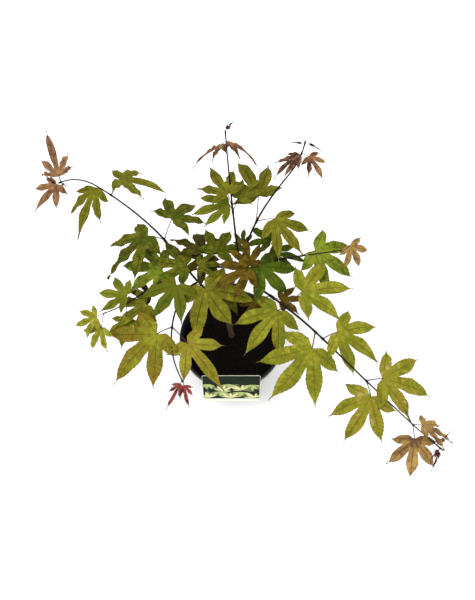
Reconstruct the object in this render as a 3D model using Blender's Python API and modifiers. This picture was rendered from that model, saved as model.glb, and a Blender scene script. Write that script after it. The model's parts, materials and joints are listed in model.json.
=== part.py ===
"""A young Japanese maple in a round nursery pot: pot, soil, hanging label, trunk, boughs and leaf masses.

Each sub-part is one closed object. The trunk, the boughs and every leaf come from growth records:
a limb turns from one bearing and rise to the next along its length, and a leaf stands on a stalk
at a node of its limb. Bearings run anticlockwise from +X, rises are above the level."""

import math
from collections import namedtuple

import bmesh
import bpy
import numpy as np
from mathutils import Matrix, Vector
from mathutils.bvhtree import BVHTree

PART = "potted_maple"
MM = 0.001
CLEAR = 0.0003  # gap between solids that touch on the real plant

# --- pot and soil ---
POT_HEIGHT = 0.105
RIM_RADIUS = 0.065
BASE_RADIUS = 0.045
WALL = 0.0014
FLOOR = 0.0018
COLLAR_HEIGHT = 0.009
COLLAR_STEP = 0.0015  # how far the collar stands out from the wall under it
LIP_ROUND = 0.001
BASE_ROUND = 0.0012
POT_SIDES = 48
DRAIN_HOLES = 8
DRAIN_RADIUS = 0.0045
DRAIN_RING = 0.034
SOIL_TOP = 0.092

# --- label ---
LABEL_WIDTH = 0.070
LABEL_HEIGHT = 0.076
LABEL_BELOW_RIM = 0.040
LABEL_THICK = 0.0006
LABEL_LEAN = 8  # degrees, top towards the plant
HOOK_WIDTH = 0.024
HOOK_DROP = 0.009
HOOK_LEG_Y = -0.0602  # middle of the leg that hangs inside the wall

# --- limbs: millimetres and degrees. A limb is a bare bough up to bare, and its mass's stem from there on ---
Limb = namedtuple("Limb", "parent at length bare bearings rises radii")
TRUNK_FOOT = (0.0, 7.5, SOIL_TOP / MM + 0.4)
FOOT_RISE = 3.0  # straight length over the flat cut
TRUNK = Limb(None, 0, 144, 144, (130, 75, 15), (76, 72, 70), (3.2, 2.4))
FLARE = (1.25, 10.0)  # how much wider the foot is, and over what height it fades
LIMBS = {
    "left_back": Limb("trunk", 62, 262, 100, (160, 150, 134, 142, 150, 158, 190),
                      (44, 45, 46, 30, 27, 27, -30), (1.5, 0.7)),
    "back": Limb("trunk", 144, 156, 60, (108, 100, 98, 97, 95), (55, 50, 45, 40, 40), (1.3, 0.7)),
    "right_back": Limb("trunk", 144, 163, 50, (74, 60, 45, 38, 76), (50, 45, 43, 40, 45), (1.3, 0.7)),
    "right": Limb("trunk", 142, 122, 40, (0, 0, -2, 0), (22, 26, 22, 20), (1.0, 0.55)),
    "right_front": Limb("trunk", 142, 301, 52, (294, 318, 316, 312, 312, 314, 316, 321),
                        (15, 15, 10, 5, 3, 0, -5, -5), (1.4, 0.55)),
    "left": Limb("trunk", 139, 168, 34, (178, 190, 214, 222, 207), (12, 6, 10, 12, 15), (1.3, 0.6)),
    "left_front": Limb("trunk", 124, 182, 52, (184, 216, 254, 273, 302), (22, 22, 12, 0, -15), (1.4, 0.6)),
    "crown": Limb("trunk", 144, 32, 0, (285, 290), (65, 55), (1.2, 0.9)),
}
STEP = 8.0  # length between the points of a limb
FIRST_START = 0.5  # a limb begins at least this far from its parent's middle line
START_STEP = 0.1
MOST_START = 25.0
RIM_POINTS = 12  # places round a limb's end that its clearance is measured at
LIMB_SIDES = 8
TWIG_SIDES = 6
ROD_SIDES = 4

# --- leaves: at, stalk (bearing, rise, length), blade (bearing, droop, roll), size. The curl is how far
# the tips bend down, as a share of the size ---
Leaf = namedtuple("Leaf", "at stalk blade size spread slim curl", defaults=(1.0, 1.0, 0.14))
LEAVES = {
    "left_back": [
        Leaf(121, (65, 35, 26), (56, 24, 0), 56, 1.1, 0.95, 0.25),
        Leaf(121, (175, 20, 20), (216, 10, 25), 66, 1.0, 1.0, 0.22),
        Leaf(106, (250, 15, 31), (168, 10, 0), 56),
        Leaf(199, (50, 35, 21), (0, 12, -28), 54, 1.3, 0.85),
        Leaf(199, (160, 20, 19), (246, 12, 12), 60, 0.72, 0.8, 0.2),
        Leaf(260, (110, 40, 7), (108, 0, 0), 76, 0.72, 0.5),
        Leaf(260, (215, 0, 6), (229, 10, 0), 38, 1.05, 0.85),
    ],
    "back": [
        Leaf(67, (120, 65, 26), (122, 5, 0), 46, 1.05, 0.9, 0.15),
        Leaf(67, (120, 30, 9), (188, 10, -10), 46, 0.75, 0.95, 0.1),
        Leaf(67, (60, 40, 16), (48, -8, -20), 38, 0.9, 0.95, 0.1),
        Leaf(138, (180, 35, 4), (195, 0, 40), 38, 1.0, 0.7, 0.45),
        Leaf(138, (75, 35, 4), (345, 0, -40), 40, 1.0, 0.7, 0.45),
        Leaf(153, (70, 40, 4), (55, -5, 0), 15, 0.5, 0.55),
    ],
    "right_back": [
        Leaf(57, (85, 25, 28), (112, 0, 0), 60, 1.0, 0.95, 0.25),
        Leaf(57, (350, 33, 23), (312, 12, 0), 50, 0.85, 1.05, 0.25),
        Leaf(148, (260, 40, 4), (207, 12, 20), 38, 0.6, 0.9, 0.2),
        Leaf(148, (330, 15, 9), (310, 20, 0), 31, 0.9, 0.8),
    ],
    "right": [
        Leaf(45, (140, 10, 12), (358, 10, 0), 48, 0.6, 0.85),
        Leaf(45, (118, 45, 24), (135, 10, 0), 34, 1.1),
        Leaf(74, (20, 5, 16), (332, 18, 0), 56, 1.1),
        Leaf(122, (35, 10, 8), (310, 40, 0), 32),
    ],
    "right_front": [
        Leaf(79, (32, 48, 28), (12, 5, 0), 60, 1.05),
        Leaf(79, (178, -48, 13), (230, 10, 0), 62),
        Leaf(133, (20, 20, 17), (335, 15, 0), 58),
        Leaf(122, (258, -10, 18), (232, 10, 0), 72),
        Leaf(197, (5, 10, 17), (350, 15, 0), 62),
        Leaf(197, (288, -20, 17), (240, 20, 0), 58),
        Leaf(261, (350, 15, 10), (342, 15, -40), 38),
        Leaf(261, (277, -20, 15), (266, 30, 0), 46),
        Leaf(60, (0, -35, 10), (8, 5, 0), 30),
        Leaf(56, (172, -50, 26), (232, 30, 0), 26),
    ],
    "left": [
        Leaf(40, (100, 45, 18), (100, 30, 10), 60, 1.0, 0.95, 0.1),
        Leaf(54, (170, 60, 12), (172, 0, 0), 44, 1.0, 1.15),
        Leaf(54, (350, 60, 16), (5, -10, 0), 28),
        Leaf(37, (50, 35, 22), (66, 12, 0), 40, 1.2, 1.15),
        Leaf(39, (100, 60, 14), (262, 6, 0), 36, 1.1),
        Leaf(131, (165, 45, 10), (168, 15, 0), 40),
        Leaf(118, (290, -10, 13), (210, 15, 0), 45),
        Leaf(118, (60, -70, 30), (165, 5, 0), 30),
        Leaf(140, (260, -60, 24), (255, 25, 0), 34),
        Leaf(168, (220, 25, 10), (195, 20, 0), 30),
        Leaf(168, (262, -15, 15), (230, 35, 0), 32),
    ],
    "left_front": [
        Leaf(60, (335, 30, 20), (305, 8, 0), 51, 1.2, 1.35),
        Leaf(60, (205, 50, 26), (238, 0, 0), 46, 1.1, 1.1),
        Leaf(119, (208, 5, 18), (222, 12, 0), 72, 1.1, 0.95),
        Leaf(119, (313, 0, 25), (312, 15, 0), 65, 1.15, 0.75),
        Leaf(180, (240, 0, 4), (238, 30, 0), 36, 0.6, 0.55),
        Leaf(182, (285, 0, 4), (280, 40, 0), 30, 0.8, 0.6),
        Leaf(56, (352, -3, 37), (296, 30, 0), 34),
    ],
    "crown": [
        Leaf(32, (330, 30, 5), (205, 5, 0), 47, 1.0, 0.95),
        Leaf(32, (20, 60, 7), (98, -12, 0), 34),
        Leaf(22, (352, 28, 21), (312, 8, 0), 45, 1.1, 1.15),
        Leaf(14, (90, 10, 26), (85, 0, 0), 22),
    ],
}
LOBES = ((-86, 0.52), (-40, 0.86), (0, 1.0), (40, 0.86), (86, 0.52))  # angle, share of the size
HEM_ANGLE = 125  # where the blade runs back to its stalk
HEM_REACH = 0.16
SINUS = 0.3  # depth at which two lobes part
BULGE = 0.07  # swell of a lobe past the straight line to its tip
FOLD = 0.15  # how far each lobe's edges stand above its rib
BLADE_ROWS = (0.38, 0.72)  # rows across a lobe between its sinus and its tip
FIRST_ROW = 0.6  # the most of a short lobe's rib that its first row takes
FULL_PAIR = 1.5  # two lobes whose shares add up to this part at the full depth
LEAF_THICK = 0.9
STALK_RADII = (0.6, 0.54)
STALK_SINK = 3.0  # how far a stalk runs on into its blade
BUD_SINK = 2.0
BUD_LENGTH = 9.0
BUD_RADII = (1.1, 0.3)

COLOURS = {  # base colour, roughness
    "pot": ((0.012, 0.012, 0.013), 0.45),
    "soil": ((0.020, 0.014, 0.010), 0.95),
    "label": ((0.10, 0.22, 0.08), 0.35),
    "bark": ((0.12, 0.08, 0.06), 0.8),
    "shoot": ((0.05, 0.02, 0.025), 0.55),
    "leaf": ((0.17, 0.20, 0.04), 0.6),
}


# --- scene helpers ---
def clear_scene():
    for old in list(bpy.data.objects):
        bpy.data.objects.remove(old)


def new_collection(name, hidden=False):
    made = bpy.data.collections.new(name)
    made.hide_render = hidden
    bpy.context.scene.collection.children.link(made)
    return made


def material(name):
    made = bpy.data.materials.get(name)
    if made is None:
        colour, roughness = COLOURS[name]
        made = bpy.data.materials.new(name)
        made.use_nodes = True
        shader = made.node_tree.nodes["Principled BSDF"]
        shader.inputs["Base Color"].default_value = (*colour, 1)
        shader.inputs["Roughness"].default_value = roughness
    return made


def add_object(name, data, collection, surface=None):
    made = bpy.data.objects.new(name, data)
    collection.objects.link(made)
    if surface:
        data.materials.append(material(surface))
    return made


def mesh_object(name, bm, collection, surface=None):
    if bm.calc_volume(signed=True) < 0:
        bmesh.ops.reverse_faces(bm, faces=bm.faces)
    data = bpy.data.meshes.new(name)
    bm.to_mesh(data)
    bm.free()
    return add_object(name, data, collection, surface)


def boolean(target, operation, **operand):
    cut = target.modifiers.new("boolean", "BOOLEAN")
    cut.operation = operation
    for key, value in operand.items():
        setattr(cut, key, value)


def evaluated(obj):
    """A mesh of the object with its modifiers or its bevel worked out."""
    bpy.context.view_layer.update()
    return bpy.data.meshes.new_from_object(obj.evaluated_get(bpy.context.evaluated_depsgraph_get()))


# --- growth ---
def heading(bearing, rise):
    b, r = math.radians(bearing), math.radians(rise)
    return np.array((math.cos(b) * math.cos(r), math.sin(b) * math.cos(r), math.sin(r)))


def grow(start, limb):
    """Points along a limb, its direction turning evenly through its bearings and rises."""
    steps = max(3, round(limb.length / STEP))
    middles = (np.arange(steps) + 0.5) / steps
    bearings = np.interp(middles, np.linspace(0, 1, len(limb.bearings)), limb.bearings)
    rises = np.interp(middles, np.linspace(0, 1, len(limb.rises)), limb.rises)
    moves = [heading(b, r) * limb.length / steps for b, r in zip(bearings, rises)]
    return np.vstack([start, start + np.cumsum(moves, axis=0)])


def distances(points):
    return np.concatenate([[0.0], np.cumsum(np.linalg.norm(np.diff(points, axis=0), axis=1))])


def along(points, distance):
    lengths = distances(points)
    return np.array([np.interp(distance, lengths, points[:, axis]) for axis in range(3)])


def keep_body(data):
    """Leaves a joined mesh as its one largest body: a sealed hollow is filled and a loose scrap dropped."""
    bm = bmesh.new()
    bm.from_mesh(data)
    bodies, unseen = [], set(bm.faces)
    while unseen:
        body, edge = set(), [unseen.pop()]
        while edge:
            face = edge.pop()
            body.add(face)
            beside = {f for e in face.edges for f in e.link_faces} & unseen
            unseen -= beside
            edge.extend(beside)
        bodies.append(body)
    bodies.sort(key=len)
    for body in bodies[:-1]:
        print("dropped a body of", len(body), "faces")
        bmesh.ops.delete(bm, geom=list(body), context="FACES")
    bm.to_mesh(data)
    bm.free()


def stretch(points, begin, end):
    """The part of a path between two distances along it."""
    lengths = distances(points)
    inside = points[(lengths > begin + 1) & (lengths < end - 1)]
    return np.vstack([along(points, begin), inside, along(points, end)])


def limb_paths():
    foot = np.array(TRUNK_FOOT)
    cut = foot + (0, 0, FOOT_RISE)
    paths = {"trunk": np.vstack([foot, grow(cut, TRUNK)])}
    for name, limb in LIMBS.items():
        paths[name] = grow(along(paths[limb.parent], limb.at), limb)
    return paths


def radius_at(limb, distance):
    thick, thin = limb.radii
    return thick + (thin - thick) * min(1, distance / limb.length)


# --- tubes ---
def tube(name, points, radii, sides, collection, surface):
    """A tapering limb: a curve with a round bevel, made a mesh so that it can be joined."""
    curve = bpy.data.curves.new(name, "CURVE")
    curve.dimensions = "3D"
    curve.bevel_depth = 1.0
    curve.bevel_resolution = (sides - 4) // 2
    curve.use_fill_caps = True
    spline = curve.splines.new("POLY")
    spline.points.add(len(points) - 1)
    for target, point, radius in zip(spline.points, points, radii):
        target.co = (*(np.array(point) * MM), 1)
        target.radius = radius * MM
    rough = add_object(name + "_curve", curve, collection)
    data = evaluated(rough)
    bpy.data.objects.remove(rough)
    bm = bmesh.new()
    bm.from_mesh(data)
    bmesh.ops.remove_doubles(bm, verts=bm.verts, dist=1e-6)
    bmesh.ops.recalc_face_normals(bm, faces=bm.faces)
    for face in bm.faces:
        face.smooth = len(face.verts) == 4
    return mesh_object(name, bm, collection, surface)


def rim_points(centre, direction, radius):
    """Points round a limb's end, to measure its clearance with."""
    turn = Vector(direction).to_track_quat("Z", "Y").to_matrix()
    middle = Vector(centre) * MM
    angles = np.linspace(0, 2 * math.pi, RIM_POINTS, endpoint=False)
    circle = [Vector((math.cos(a), math.sin(a), 0)) * radius * MM for a in angles]
    return [middle] + [middle + turn @ point for point in circle]


def clear_start(path, limb, trees, begin):
    """How far along its path a limb may begin, CLEAR of everything it springs from."""
    for distance in np.arange(begin, begin + MOST_START, START_STEP):
        centre = along(path, distance)
        direction = along(path, distance + 1) - centre
        points = rim_points(centre, direction, radius_at(limb, distance))
        if all(outside(tree, p) > CLEAR for tree in trees for p in points):
            return distance
    return begin + MOST_START


def outside(tree, point):
    """Distance from a point to a closed mesh, negative inside it."""
    nearest, normal, _, gap = tree.find_nearest(point)
    return gap if (point - nearest).dot(normal) > 0 else -gap


# --- leaves ---
def blade_axes(bearing, droop, roll):
    forward = heading(bearing, -droop)
    side = heading(bearing + 90, 0)
    up = np.cross(forward, side)
    c, s = math.cos(math.radians(roll)), math.sin(math.radians(roll))
    across = side * c + up * s
    return forward, across, np.cross(forward, across)


def half_lobe(leaf, lobe, neighbour, rows):
    """One half of a lobe, stalk to tip: pairs of a rib and an edge point, each (along, across, lift)."""
    angle, share = lobe
    length = share * leaf.size * (leaf.slim if angle else 1.0)
    centre, towards = math.radians(angle * leaf.spread), math.radians(neighbour[0] * leaf.spread)
    half = abs(towards - centre) / 2
    reach = neighbour[1] * leaf.size * leaf.slim
    sinus_along, sinus_off = reach * math.cos(half), reach * math.sin(half)
    start = min(FIRST_ROW, SINUS * leaf.size * leaf.slim / length)
    side = math.copysign(1, towards - centre)
    pairs = [((0, 0), (0, 0))]
    for row in (0.0, *rows, 1.0):
        rib = start + (1 - start) * row
        edge = sinus_along + (length - sinus_along) * row
        swell = BULGE * share * leaf.size * leaf.slim * math.sin(math.pi * row**0.8)
        off = sinus_off * (1 - row) + swell
        pairs.append(((rib * length, 0), (edge, off)))
    turn = np.array(((math.cos(centre), math.sin(centre)), (-math.sin(centre), math.cos(centre))))
    grid = []
    for pair in pairs:
        line = []
        for far, off in pair:
            x, y = np.array((far, off * side)) @ turn
            lift = FOLD * off - leaf.curl * (x * x + y * y) / leaf.size
            line.append((x, y, lift))
        grid.append(line)
    return np.array(grid), side


def neighbours(leaf):
    """Each lobe with the sinus on either side of it, as (angle, reach)."""
    hem = (HEM_ANGLE * 2 - LOBES[-1][0], HEM_REACH)
    for index, lobe in enumerate(LOBES):
        for step in (-1, 1):
            beside = index + step
            if 0 <= beside < len(LOBES):
                depth = SINUS * min(1, (lobe[1] + LOBES[beside][1]) / FULL_PAIR)
                yield lobe, (LOBES[beside][0], depth)
            else:
                yield lobe, (math.copysign(hem[0], lobe[0]), hem[1])


def blade_mesh(leaf, base, thickness):
    """One leaf as a closed slab: an open sheet of half lobes, given its thickness."""
    forward, across, up = blade_axes(*leaf.blade)
    bm = bmesh.new()
    for lobe, beside in neighbours(leaf):
        grid, side = half_lobe(leaf, lobe, beside, BLADE_ROWS)
        lifts = grid[..., 2:] - thickness / 2
        places = base + grid[..., :1] * forward + grid[..., 1:2] * across + lifts * up
        verts = [[bm.verts.new(Vector(p) * MM) for p in line] for line in places]
        for inner, outer in zip(verts, verts[1:]):
            ring = (inner[0], outer[0], outer[1], inner[1])
            bm.faces.new(ring if side > 0 else ring[::-1])
    bmesh.ops.remove_doubles(bm, verts=bm.verts, dist=1e-6)
    bmesh.ops.triangulate(bm, faces=bm.faces)
    bmesh.ops.recalc_face_normals(bm, faces=bm.faces)
    if sum(face.normal.dot(Vector(up)) for face in bm.faces) < 0:
        bmesh.ops.reverse_faces(bm, faces=bm.faces)
    bmesh.ops.solidify(bm, geom=bm.faces, thickness=-thickness * MM)
    bmesh.ops.recalc_face_normals(bm, faces=bm.faces)
    return bm


def rod_mesh(start, end, radii):
    """A straight tapering stalk or bud between two points."""
    move = Vector(end - start) * MM
    turn = move.to_track_quat("Z", "Y").to_matrix().to_4x4()
    place = Matrix.Translation(Vector(start + end) * MM / 2) @ turn
    bm = bmesh.new()
    bmesh.ops.create_cone(bm, cap_ends=True, segments=ROD_SIDES, radius1=radii[0] * MM, radius2=radii[1] * MM,
                          depth=move.length, matrix=place)
    return bm


def tree_of(obj):
    bm = bmesh.new()
    bm.from_mesh(obj.data)
    made = BVHTree.FromBMesh(bm)
    bm.free()
    return made


def touches(bm, trees):
    """Names of the solids that a mesh runs into."""
    test = BVHTree.FromBMesh(bm)
    return [name for name, tree in trees.items() if test.overlap(tree)]


def leaf_pieces(leaf, path, trees):
    """The stalk and blade of one leaf, or nothing where either would touch another solid."""
    root = along(path, leaf.at)
    bearing, rise, length = leaf.stalk
    base = root + heading(bearing, rise) * length
    forward = blade_axes(*leaf.blade)[0]
    probe = blade_mesh(leaf, base, LEAF_THICK + 2 * CLEAR / MM)
    blocked = touches(probe, trees)
    probe.free()
    if blocked:
        print("a leaf at", leaf.at, "would touch", ", ".join(blocked))
        return []
    return [rod_mesh(root, base + forward * STALK_SINK, STALK_RADII), blade_mesh(leaf, base, LEAF_THICK)]


def mass(name, path, begin, trees, collection):
    """A leaf mass: its stem, stalks, blades and end bud, joined into one solid."""
    limb = LIMBS[name]
    loose = new_collection("joining_" + name)
    end = distances(path)[-1]
    stem_path = stretch(path, begin, end)
    radii = [radius_at(limb, begin + d) for d in distances(stem_path)]
    node = "foliage_" + name
    stem = tube(node, stem_path, radii, TWIG_SIDES, collection, "leaf")
    direction = (path[-1] - path[-2]) / np.linalg.norm(path[-1] - path[-2])
    bud = rod_mesh(path[-1] - direction * BUD_SINK, path[-1] + direction * BUD_LENGTH, BUD_RADII)
    mesh_object("bud", bud, loose)
    for leaf in LEAVES[name]:
        for piece in leaf_pieces(leaf, path, trees):
            mesh_object("piece", piece, loose)
    boolean(stem, "UNION", operand_type="COLLECTION", collection=loose, solver="MANIFOLD")
    joined = evaluated(stem)
    stem.modifiers.clear()
    stem.data = joined
    keep_body(joined)
    for piece in list(loose.objects):
        bpy.data.objects.remove(piece)
    bpy.data.collections.remove(loose)
    print(node, len(joined.polygons), "faces")
    return stem


# --- pot, soil and label ---
def inner_radius(height):
    share = height / (POT_HEIGHT - COLLAR_HEIGHT)
    outer = BASE_RADIUS + (RIM_RADIUS - COLLAR_STEP - BASE_RADIUS) * share
    return min(outer, RIM_RADIUS - COLLAR_STEP) - WALL


def make_pot(collection, cutters):
    under = POT_HEIGHT - COLLAR_HEIGHT
    profile = (
        (0, FLOOR),
        (inner_radius(FLOOR), FLOOR),
        (inner_radius(under), under),
        (inner_radius(under), POT_HEIGHT),
        (RIM_RADIUS - LIP_ROUND / 2, POT_HEIGHT),
        (RIM_RADIUS, POT_HEIGHT - LIP_ROUND),
        (RIM_RADIUS, under),
        (inner_radius(under) + WALL, under),
        (BASE_RADIUS, BASE_ROUND),
        (BASE_RADIUS - BASE_ROUND, 0),
        (0, 0),
    )
    data = bpy.data.meshes.new("pot")
    edges = [(i, i + 1) for i in range(len(profile) - 1)]
    data.from_pydata([(radius, 0, height) for radius, height in profile], edges, [])
    pot = add_object("pot", data, collection, "pot")
    screw = pot.modifiers.new("turn", "SCREW")
    screw.steps = screw.render_steps = POT_SIDES
    screw.use_merge_vertices = True
    screw.merge_threshold = 0.00001
    for index in range(DRAIN_HOLES):
        angle = 2 * math.pi * index / DRAIN_HOLES
        place = (DRAIN_RING * math.cos(angle), DRAIN_RING * math.sin(angle), 0)
        bpy.ops.mesh.primitive_cylinder_add(vertices=16, radius=DRAIN_RADIUS, depth=FLOOR * 4, location=place)
        drill = bpy.context.object
        drill.name = f"drain_{index}"
        drill.users_collection[0].objects.unlink(drill)
        cutters.objects.link(drill)
        drill.display_type = "WIRE"
    boolean(pot, "DIFFERENCE", operand_type="COLLECTION", collection=cutters, solver="EXACT")
    return pot


def make_soil(collection):
    bottom = FLOOR + CLEAR
    bm = bmesh.new()
    bmesh.ops.create_cone(bm, cap_ends=True, segments=POT_SIDES, radius1=inner_radius(bottom) - CLEAR * 1.5,
                          radius2=inner_radius(SOIL_TOP) - CLEAR * 1.5, depth=SOIL_TOP - bottom,
                          matrix=Matrix.Translation((0, 0, (SOIL_TOP + bottom) / 2)))
    return mesh_object("soil", bm, collection, "soil")


def make_label(collection):
    """A printed card that hooks over the rim by a bent tongue."""
    lean = math.radians(LABEL_LEAN)
    back_y = -(RIM_RADIUS + CLEAR)
    middle = LABEL_HEIGHT / 2 - LABEL_BELOW_RIM
    turn = Matrix.Rotation(-lean, 4, "X")
    hinge = Matrix.Translation((0, back_y, POT_HEIGHT))
    bm = bmesh.new()
    size = Matrix.Diagonal((LABEL_WIDTH, LABEL_THICK, LABEL_HEIGHT, 1))
    shift = Matrix.Translation((0, -LABEL_THICK / 2, middle))
    bmesh.ops.create_cube(bm, size=1, matrix=hinge @ turn @ shift @ size)
    card = mesh_object("label", bm, collection, "label")
    bar_z = POT_HEIGHT + CLEAR + LABEL_THICK / 2
    line = ((back_y - LABEL_THICK * 0.4, bar_z), (HOOK_LEG_Y, bar_z), (HOOK_LEG_Y, bar_z - HOOK_DROP))
    data = bpy.data.meshes.new("hook")
    half = HOOK_WIDTH / 2
    verts = [(x, y, z) for y, z in line for x in (-half, half)]
    data.from_pydata(verts, [], [(0, 1, 3, 2), (2, 3, 5, 4)])
    hook = add_object("hook", data, collection)
    skin = hook.modifiers.new("skin", "SOLIDIFY")
    skin.thickness = LABEL_THICK
    skin.offset = 0
    skin.use_even_offset = True
    boolean(card, "UNION", object=hook)
    joined = evaluated(card)
    card.modifiers.clear()
    card.data = joined
    bpy.data.objects.remove(hook)
    return card


def make_trunk(path, collection):
    lengths = distances(path)
    radii = []
    for distance in lengths:
        flare = 1 + (FLARE[0] - 1) * max(0, 1 - distance / FLARE[1])
        radii.append(radius_at(TRUNK, distance) * flare)
    return tube("trunk", path, radii, LIMB_SIDES, collection, "bark")


def main():
    clear_scene()
    parts = new_collection(PART)
    cutters = new_collection("cutters", hidden=True)
    make_pot(parts, cutters)
    paths = limb_paths()
    solids = (make_soil(parts), make_label(parts), make_trunk(paths["trunk"], parts))
    trees = {solid.name: tree_of(solid) for solid in solids}
    begins = {}
    for name, limb in LIMBS.items():
        begins[name] = clear_start(paths[name], limb, list(trees.values()), FIRST_START)
        if limb.bare:
            points = stretch(paths[name], begins[name], limb.bare)
            radii = [radius_at(limb, begins[name] + d) for d in distances(points)]
            bough = tube("bough_" + name, points, radii, LIMB_SIDES, parts, "shoot")
            trees[bough.name] = tree_of(bough)
            begins[name] = limb.bare + CLEAR / MM
    for name, begin in begins.items():
        made = mass(name, paths[name], begin, trees, parts)
        trees[made.name] = tree_of(made)


main()
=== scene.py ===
# %% [markdown]
# # A young maple in a nursery pot
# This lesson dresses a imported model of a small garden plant: a black plastic pot, dark compost, a picture
# card hooked on the rim, one leaning stem, thin purple-black shoots and about sixty hand-shaped leaves in
# early autumn tints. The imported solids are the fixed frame. Every piece below is made round them, in
# metres, +Z up.

# %% Load the frame
import json
import math
from collections import namedtuple

import bmesh
import bpy
import numpy as np
from mathutils import Matrix, Vector, noise

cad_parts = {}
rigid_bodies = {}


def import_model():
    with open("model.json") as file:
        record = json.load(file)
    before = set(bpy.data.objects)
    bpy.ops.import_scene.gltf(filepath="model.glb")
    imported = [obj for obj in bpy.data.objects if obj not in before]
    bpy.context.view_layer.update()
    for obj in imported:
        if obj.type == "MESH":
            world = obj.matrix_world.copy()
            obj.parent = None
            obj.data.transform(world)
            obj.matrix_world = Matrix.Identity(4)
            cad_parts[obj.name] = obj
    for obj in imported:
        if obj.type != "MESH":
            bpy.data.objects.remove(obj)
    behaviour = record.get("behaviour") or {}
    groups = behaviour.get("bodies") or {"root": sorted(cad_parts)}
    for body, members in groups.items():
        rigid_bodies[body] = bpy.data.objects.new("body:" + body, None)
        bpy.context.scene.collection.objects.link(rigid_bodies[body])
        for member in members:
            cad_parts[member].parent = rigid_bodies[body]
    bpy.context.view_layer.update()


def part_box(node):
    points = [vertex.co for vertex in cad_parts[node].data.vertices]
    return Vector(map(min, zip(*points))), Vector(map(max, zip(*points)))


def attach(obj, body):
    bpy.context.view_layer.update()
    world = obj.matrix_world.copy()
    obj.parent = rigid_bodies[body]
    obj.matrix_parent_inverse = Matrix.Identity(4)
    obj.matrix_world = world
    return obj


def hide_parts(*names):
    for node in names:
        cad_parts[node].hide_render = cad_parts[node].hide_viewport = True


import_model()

MM = 0.001

# %% [markdown]
# ## Shader maths that reads like algebra
# A material's pattern is a chain of Math nodes. Placing them one by one hides the formula, so a small
# class wraps a socket and overloads + - and *. Plain numbers stay in Python; nodes appear only where a
# value changes over the surface. The same wrapper serves Geometry Nodes, whose Math nodes are the same
# ones.


# %% A wire and a web of nodes
class Wire:
    """One output socket, with arithmetic. A vector goes through Vector Math."""

    def __init__(self, web, socket):
        self.web = web
        self.socket = socket

    def join(self, operation, other):
        vector = self.socket.type == "VECTOR"
        if vector and isinstance(other, float):
            other = (other, other, other)
        kind = "ShaderNodeVectorMath" if vector else "ShaderNodeMath"
        return self.web.node(kind, {0: self, 1: other}, operation=operation)

    def __add__(self, other):
        return self.join("ADD", other)

    def __sub__(self, other):
        return self.join("SUBTRACT", other)

    def __mul__(self, other):
        return self.join("MULTIPLY", other)


class Web:
    """A node tree with one way to add a node: its type, the values or wires of its sockets, settings."""

    def __init__(self, tree):
        self.tree = tree

    def node(self, kind, sockets=None, out=0, **settings):
        made = self.tree.nodes.new(kind)
        for key, value in settings.items():
            setattr(made, key, value)
        for key, value in (sockets or {}).items():
            if isinstance(value, Wire):
                self.tree.links.new(value.socket, made.inputs[key])
            else:
                made.inputs[key].default_value = value
        found = made.outputs if isinstance(out, str) else [s for s in made.outputs if s.enabled]
        return Wire(self, found[out])

    def between(self, amount, low, high):
        """Colour low where amount is 0 and high where it is 1."""
        return self.node("ShaderNodeMix", {0: amount, 6: (*low, 1), 7: (*high, 1)}, data_type="RGBA")


print("wires and webs ready")

# %% [markdown]
# ## A finish
# Each finish is a Principled shader. Numbers that are the same all over stay on its own sockets; only
# what changes over the surface arrives by a wire. Patterns read Object coordinates, so they are set in
# metres on the real piece. Bark, peat, plastic and card all want the same pattern, a noise that fades
# between two near colours, so one function makes it.


# %% Make a finish
def finish(name, colour, roughness, specular=0.5):
    """A material with plain values."""
    made = bpy.data.materials.new(name)
    made.use_nodes = True
    shader = made.node_tree.nodes["Principled BSDF"]
    shader.inputs["Base Color"].default_value = (*colour, 1)
    shader.inputs["Roughness"].default_value = roughness
    shader.inputs["Specular IOR Level"].default_value = specular
    return made


def drive(key, wire):
    """Lets a wire set one socket of the shader in its own tree."""
    tree = wire.web.tree
    tree.links.new(wire.socket, tree.nodes["Principled BSDF"].inputs[key])


def mottled(name, colour, roughness, specular, low, high, scale, detail, squeeze=(1, 1, 1), grit=0.5):
    """A finish that fades from low to high by a noise, squeezed along an axis to make streaks.

    Returns the finish and the noise, which may drive more than the colour."""
    made = finish(name, colour, roughness, specular)
    web = Web(made.node_tree)
    place = web.node("ShaderNodeTexCoord", out="Object") * squeeze
    sockets = {"Vector": place, "Scale": scale, "Detail": detail, "Roughness": grit}
    pattern = web.node("ShaderNodeTexNoise", sockets)
    drive("Base Color", web.between(pattern, low, high))
    return made, pattern


def relief(height, strength, distance):
    sockets = {"Height": height, "Strength": strength, "Distance": distance}
    drive("Normal", height.web.node("ShaderNodeBump", sockets))


# %% [markdown]
# ## A piece
# Almost every piece starts as a bmesh. It becomes a mesh with its finishes in order, and an object of the
# scene.


# %% Make a piece
def add_object(name, data):
    made = bpy.data.objects.new(name, data)
    bpy.context.scene.collection.objects.link(made)
    return made


def mesh_piece(name, bm, *finishes):
    """Turns a bmesh into an object with its finishes, and frees it."""
    data = bpy.data.meshes.new(name)
    bm.to_mesh(data)
    bm.free()
    for made in finishes:
        data.materials.append(made)
    return add_object(name, data)


def evaluated_mesh(piece):
    """The plain mesh that the modifiers of a piece make."""
    bpy.context.view_layer.update()
    return bpy.data.meshes.new_from_object(piece.evaluated_get(bpy.context.evaluated_depsgraph_get()))


# %% [markdown]
# ## The growth rule
# A shoot of this plant turns a little at every step and carries its leaves in pairs. The rule is the same
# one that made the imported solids: a limb starts at a distance along its parent, and its bearing and rise
# pass evenly through a few values. Repeating it here, and rounding its turns afterwards, gives pieces
# that follow the solids.

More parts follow.
